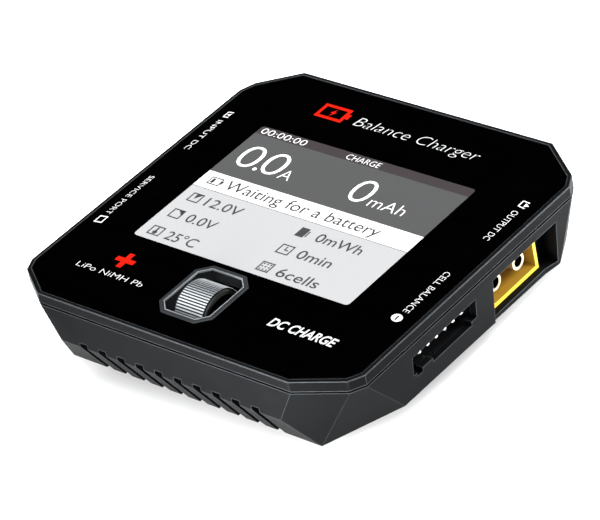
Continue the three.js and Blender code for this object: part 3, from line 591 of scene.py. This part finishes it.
def printed(name, outlines, material, lift=PRINT_LIFT):
    """Thin solid patches on the folded glass, one for each outline of (x, y) points."""
    mesh = bpy.data.meshes.new(name)
    work = bmesh.new()
    for outline in outlines:
        top = []
        foot = []
        for x, y in outline:
            level = glass_level(x) + lift
            top.append(work.verts.new(Vector((x, y, level + PRINT_THICK)) * MM))
            foot.append(work.verts.new(Vector((x, y, level)) * MM))
        work.faces.new(top)
        work.faces.new(list(reversed(foot)))
        for i in range(len(top)):
            after = (i + 1) % len(top)
            work.faces.new([foot[i], foot[after], top[after], top[i]])
    bmesh.ops.recalc_face_normals(work, faces=work.faces)
    work.to_mesh(mesh)
    work.free()
    return finish_piece(name, mesh, material)


def bar(x0, y0, x1, y1):
    return [(x0, y0), (x1, y0), (x1, y1), (x0, y1)]


def disc(x, y, radius, count=28):
    angles = [2 * math.pi * i / count for i in range(count)]
    return [(x + radius * math.cos(a), y + radius * math.sin(a)) for a in angles]


def box_frame(x, y, width, height, line):
    """Four bars round a centre."""
    left, right = x - width / 2, x + width / 2
    low, high = y - height / 2, y + height / 2
    return [
        bar(left, low, right, low + line),
        bar(left, high - line, right, high),
        bar(left, low + line, left + line, high - line),
        bar(right - line, low + line, right, high - line),
    ]


def rounded_bar(x0, y0, x1, y1, radius, round_top, round_bottom):
    """A rectangle whose top or bottom two corners may be round, counterclockwise."""
    corners = [
        (x1, y0, -1, 1, -90, round_bottom),
        (x1, y1, -1, -1, 0, round_top),
        (x0, y1, 1, -1, 90, round_top),
        (x0, y0, 1, 1, 180, round_bottom),
    ]
    points = []
    for x, y, inward_x, inward_y, start, is_round in corners:
        if not is_round:
            points.append((x, y))
            continue
        centre_x = x + inward_x * radius
        centre_y = y + inward_y * radius
        for step in range(ROUND_STEPS + 1):
            angle = math.radians(start + 90 * step / ROUND_STEPS)
            points.append((centre_x + radius * math.cos(angle), centre_y + radius * math.sin(angle)))
    return points


def text_mesh(name, body, shear, weight):
    """Raw lettering as a mesh, in the font's own size."""
    curve = bpy.data.curves.new(name, "FONT")
    curve.body = body
    curve.shear = shear
    curve.offset = weight
    curve.extrude = LETTER_DEPTH
    curve.resolution_u = 4
    holder = bpy.data.objects.new(name, curve)
    bpy.context.scene.collection.objects.link(holder)
    bpy.context.view_layer.update()
    evaluated = holder.evaluated_get(bpy.context.evaluated_depsgraph_get())
    mesh = bpy.data.meshes.new_from_object(evaluated)
    bpy.data.objects.remove(holder)
    bpy.data.curves.remove(curve)
    mesh.name = name
    return mesh


def capital_height():
    """Height of a capital letter in the font's own size."""
    mesh = text_mesh("measure", "H", 0, 0)
    heights = [v.co.y for v in mesh.vertices]
    bpy.data.meshes.remove(mesh)
    return max(heights) - min(heights)


CAPITAL = capital_height()


def words(
    name, body, start, height, width, material,
    turned=False, shear=0.0, weight=PRINT_WEIGHT
):
    """Lettering from a start point on its baseline, running to +X or, when turned, to -Y."""
    mesh = text_mesh(name, body, shear, weight)
    left = min(v.co.x for v in mesh.vertices)
    right = max(v.co.x for v in mesh.vertices)
    for vertex in mesh.vertices:
        along = (vertex.co.x - left) / (right - left) * width
        up = vertex.co.y / CAPITAL * height
        depth = PRINT_LIFT + (vertex.co.z + LETTER_DEPTH) * PRINT_THICK
        x, y = (start[0] + up, start[1] - along) if turned else (start[0] + along, start[1] + up)
        vertex.co = Vector((x, y, glass_level(x) + depth)) * MM
    return finish_piece(name, mesh, material)


def screen_fields():
    left, right, corner = SCREEN_LEFT, SCREEN_RIGHT, SCREEN_CORNER
    rule_bottom = MESSAGE_BOTTOM - RULE_WIDTH
    top = rounded_bar(left, HEADER_BOTTOM, right, SCREEN_TOP, corner, True, False)
    readings = bar(left, READINGS_BOTTOM, right, HEADER_BOTTOM)
    message = bar(left, MESSAGE_BOTTOM, right, READINGS_BOTTOM)
    rule = bar(left, rule_bottom, right, MESSAGE_BOTTOM)
    base = rounded_bar(left, SCREEN_BOTTOM, right, rule_bottom, corner, False, True)
    printed("screen_header_bar", [top], FIELD_DARK, PICTURE_LIFT)
    printed("screen_readings_field", [readings], FIELD_GREY, PICTURE_LIFT)
    printed("screen_message_strip", [message], FIELD_WHITE, PICTURE_LIFT)
    printed("screen_rule", [rule], LETTER_GREY, PICTURE_LIFT)
    printed("screen_details_field", [base], FIELD_LIGHT, PICTURE_LIFT)


def screen_words():
    readings = [                # piece, text, start, height, width
        ("clock", "00:00:00", (-24.9, HEADER_BASE), 1.75, 11.0),
        ("mode", "CHARGE", (-3.8, HEADER_BASE), 1.6, 8.0),
        ("current_whole", "0", (-23.5, READINGS_BASE), 7.0, 4.9),
        ("current_point", ".", (-18.3, READINGS_BASE), 7.0, 0.9),
        ("current_tenth", "0", (-17.4, READINGS_BASE), 7.0, 4.9),
        ("current_unit", "A", (-12.1, READINGS_BASE), 3.0, 2.7),
        ("capacity", "0", (4.0, READINGS_BASE), 7.0, 4.7),
        ("capacity_unit", "mAh", (9.6, READINGS_BASE), 3.0, 8.2),
    ]
    for name, body, start, height, width in readings:
        words(f"screen_{name}", body, start, height, width, LETTER_WHITE)
    message = "Waiting for a battery"
    words("screen_message", message, (-19.5, 1.4), 2.8, 37.0, LETTER_GREY, weight=GREY_WEIGHT)
    details = [                 # text and width, down the left column and then the right
        ("12.0V", 8.6), ("0.0V", 6.9), ("25°C", 7.3),
        ("0mWh", 10.6), ("0min", 7.9), ("6cells", 9.6),
    ]
    places = [(x, y) for x in DETAIL_COLUMNS for y in DETAIL_BASES]
    for i, ((body, width), start) in enumerate(zip(details, places)):
        name = f"screen_detail_{i + 1}"
        words(name, body, start, 2.5, width, LETTER_GREY, weight=GREY_WEIGHT)


def screen_icons():
    """Small generic pictures in front of the message and the six details."""
    line = ICON_LINE
    cell = box_frame(-22.3, 2.7, 2.9, 2.3, line)
    poles = [bar(-20.85, 2.2, -20.5, 3.2), bar(-23.2, 2.0, -22.5, 3.4)]
    printed("icon_battery", [*cell, *poles], LETTER_GREY)
    arrow_in = [(-21.3, -2.0), (-22.7, -2.2), (-22.5, -3.6)]
    arrow_out = [(-21.0, -7.5), (-22.4, -7.7), (-21.2, -8.9)]
    printed("icon_in", [*box_frame(-22.3, -3.2, 2.7, 2.7, line), arrow_in], LETTER_GREY)
    printed("icon_out", [*box_frame(-22.3, -8.8, 2.7, 2.7, line), arrow_out], LETTER_GREY)
    thermometer = [bar(-22.5, -15.0, -22.1, -13.7), disc(-22.3, -15.2, 0.5)]
    printed("icon_heat", [*box_frame(-22.3, -14.7, 2.9, 2.7, line), *thermometer], LETTER_GREY)
    printed("icon_energy", [bar(3.0, -4.6, 4.9, -1.9), bar(5.1, -4.2, 5.4, -2.5)], LETTER_GREY)
    hands = [bar(4.25, -9.1, 4.5, -8.0), bar(4.25, -9.2, 5.2, -8.95)]
    printed("icon_time", [*box_frame(4.4, -8.9, 2.9, 2.8, line), *hands], LETTER_GREY)
    dots = [disc(3.6 + 0.8 * i, -15.5 + 0.8 * j, 0.2, 12) for i in range(3) for j in range(3)]
    printed("icon_cells", [*box_frame(4.4, -14.7, 2.9, 2.8, line), *dots], LETTER_GREY)


def bolt(x, y, height):
    """A lightning stroke round a centre."""
    half = height / 2
    points = [
        (0.28, 1.0), (-0.55, -0.12), (-0.06, -0.12), (-0.28, -1.0), (0.55, 0.2), (0.06, 0.2),
    ]
    return [(x + px * half, y + py * half) for px, py in points]


def plus(x, y, reach, half):
    """A plus sign round a centre, as one outline of twelve corners."""
    arm = [(reach, -half), (reach, half), (half, half)]
    points = []
    for _ in range(4):
        points += [(x + px, y + py) for px, py in arm]
        arm = [(-py, px) for px, py in arm]
    return points


def cover_marks():
    """A battery and a plain title over the screen, and a plus sign and plain words under it."""
    x, y = -15.6, 30.7
    outline = box_frame(x, y, 6.6, 4.4, 0.75)
    printed("mark_battery", [*outline, bar(-12.3, 29.9, -11.6, 31.5)], RED_INK)
    printed("mark_bolt", [bolt(x, y, 2.5)], RED_INK)
    title = "Balance Charger"
    words("title", title, (-9.6, 28.9), 2.85, 29.6, WHITE_INK, shear=0.18, weight=TITLE_WEIGHT)
    printed("mark_plus", [plus(-21.4, -24.6, 2.2, 0.6)], RED_INK)
    words("battery_types", "LiPo NiMH Pb", (-29.4, -29.8), 1.4, 16.2, WHITE_INK)
    supply = "DC CHARGE"
    words("supply_kind", supply, (15.8, -28.3), 2.2, 15.0, WHITE_INK, shear=0.15, weight=SUPPLY_WEIGHT)


def arrow_port(x, y, inward):
    """An open tray with an arrow in or out of it."""
    line = 0.25
    back, front, half = 0.9, 0.6, 1
    tip = -0.4 if inward else 1.0
    base = 0.5 if inward else 0.1
    barb = 0.55
    return [
        bar(x - back, y - half, x - back + line, y + half),
        bar(x - back, y - half, x + front, y - half + line),
        bar(x - back, y + half - line, x + front, y + half),
        [(x + tip, y), (x + base, y + barb), (x + base, y - barb)],
    ]


def port_labels():
    """The name of each port along the glass's side edges, with a small sign beside it."""
    labels = [                  # piece, text, side, start, width
        ("input", "INPUT DC", "left", (-36.5, 20.2), 10.6),
        ("service", "SERVICE PORT", "left", (-36.5, -0.4), 13.4),
        ("output", "OUTPUT DC", "right", (35.3, 19.8), 9.6),
        ("balance", "CELL BALANCE", "right", (35.2, -0.8), 12.9),
    ]
    for name, body, side, start, width in labels:
        words(f"label_{name}", body, start, LABEL_HEIGHTS[side], width, WHITE_INK, turned=True)
    printed("icon_input", arrow_port(-35.6, 22.4, True), WHITE_INK)
    printed("icon_output", arrow_port(36.1, 22.1, False), WHITE_INK)
    printed("icon_service", box_frame(-35.7, -15.7, 2.1, 2.2, 0.3), WHITE_INK)
    printed("icon_balance", [disc(35.5, -15.7, 1.05)], WHITE_INK)
    bar_lift = PRINT_LIFT + PRINT_THICK
    printed("icon_balance_bar", [bar(35.35, -16.3, 35.65, -15.1)], GLASS, bar_lift)


# ---------------------------------------------------------------- studio


def direction(azimuth, elevation):
    """A unit vector from the part towards an azimuth and elevation."""
    a, e = math.radians(azimuth), math.radians(elevation)
    return Vector((math.sin(a) * math.cos(e), -math.cos(a) * math.cos(e), math.sin(e)))


def floor():
    mesh = bpy.data.meshes.new("floor")
    work = bmesh.new()
    corners = [(-1, -1), (1, -1), (1, 1), (-1, 1)]
    work.faces.new([work.verts.new((x * FLOOR_HALF, y * FLOOR_HALF, 0)) for x, y in corners])
    work.to_mesh(mesh)
    work.free()
    obj = bpy.data.objects.new("floor", mesh)
    bpy.context.scene.collection.objects.link(obj)
    mesh.materials.append(surface("pale_floor", (0.93, 0.93, 0.93), 0.9, 1.0, 0.001, mottle=0.005))


def sun(name, azimuth, elevation, strength, softness):
    """A wide soft sun that shines from an azimuth and elevation, its softness in degrees."""
    light = bpy.data.lights.new(name, "SUN")
    light.energy = strength
    light.angle = math.radians(softness)
    obj = bpy.data.objects.new(name, light)
    obj.rotation_mode = "QUATERNION"
    obj.rotation_quaternion = (-direction(azimuth, elevation)).to_track_quat("-Z", "Y")
    bpy.context.scene.collection.objects.link(obj)


def panel(name, place_mm, target_mm, power, gleam):
    """A small soft box near the part, unseen itself, mirrored in glossy surfaces if it may gleam."""
    light = bpy.data.lights.new(name, "AREA")
    light.shape = "RECTANGLE"
    light.size = PANEL_WIDTH
    light.size_y = PANEL_HEIGHT
    light.energy = power
    obj = bpy.data.objects.new(name, light)
    place = Vector(place_mm) * MM
    obj.location = place
    obj.rotation_mode = "QUATERNION"
    obj.rotation_quaternion = (Vector(target_mm) * MM - place).to_track_quat("-Z", "Y")
    obj.visible_camera = False
    obj.visible_glossy = gleam
    bpy.context.scene.collection.objects.link(obj)


def sky():
    """A soft light from straight above, on a sky that is dark lower down."""
    world = bpy.data.worlds.new("studio")
    bpy.context.scene.world = world
    world.use_nodes = True
    nodes = world.node_tree.nodes
    links = world.node_tree.links
    background = nodes["Background"]
    background.inputs["Color"].default_value = (0.95, 0.97, 1.0, 1)
    place = nodes.new("ShaderNodeTexCoord")
    split = nodes.new("ShaderNodeSeparateXYZ")
    overhead = nodes.new("ShaderNodeMapRange")
    overhead.inputs["From Min"].default_value = OVERHEAD_FROM
    overhead.inputs["From Max"].default_value = OVERHEAD_TO
    overhead.inputs["To Min"].default_value = 0.0
    overhead.inputs["To Max"].default_value = OVERHEAD
    links.new(place.outputs["Generated"], split.inputs["Vector"])
    links.new(split.outputs["Z"], overhead.inputs["Value"])
    links.new(overhead.outputs["Result"], background.inputs["Strength"])


def studio():
    floor()
    for name, azimuth, elevation, strength, softness in SUNS:
        sun(name, azimuth, elevation, strength, softness)
    for name, place_mm, target_mm, power, gleam in PANELS:
        panel(name, place_mm, target_mm, power, gleam)
    sky()
    bpy.context.scene.view_settings.view_transform = "Standard"


def camera():
    """A long lens over the front right corner, rolled a little about its own axis."""
    data = bpy.data.cameras.new("camera")
    data.lens = CAMERA_LENS
    data.sensor_width = 36
    data.clip_start = 0.01
    data.clip_end = 20
    obj = bpy.data.objects.new("camera", data)
    back = direction(CAMERA_AZIMUTH, CAMERA_ELEVATION)
    obj.location = CAMERA_AIM + back * CAMERA_DISTANCE
    aimed = (-back).to_track_quat("-Z", "Y").to_matrix()
    rolled = aimed @ Matrix.Rotation(math.radians(CAMERA_ROLL), 3, "Z")
    obj.rotation_mode = "QUATERNION"
    obj.rotation_quaternion = rolled.to_quaternion()
    bpy.context.scene.collection.objects.link(obj)
    bpy.context.scene.camera = obj


# ---------------------------------------------------------------- the scene

dress_nodes()
# painted highlight round the ring's inner edge
ring_edge_highlight()
screen_fields()
screen_words()
screen_icons()
cover_marks()
port_labels()
studio()
camera()
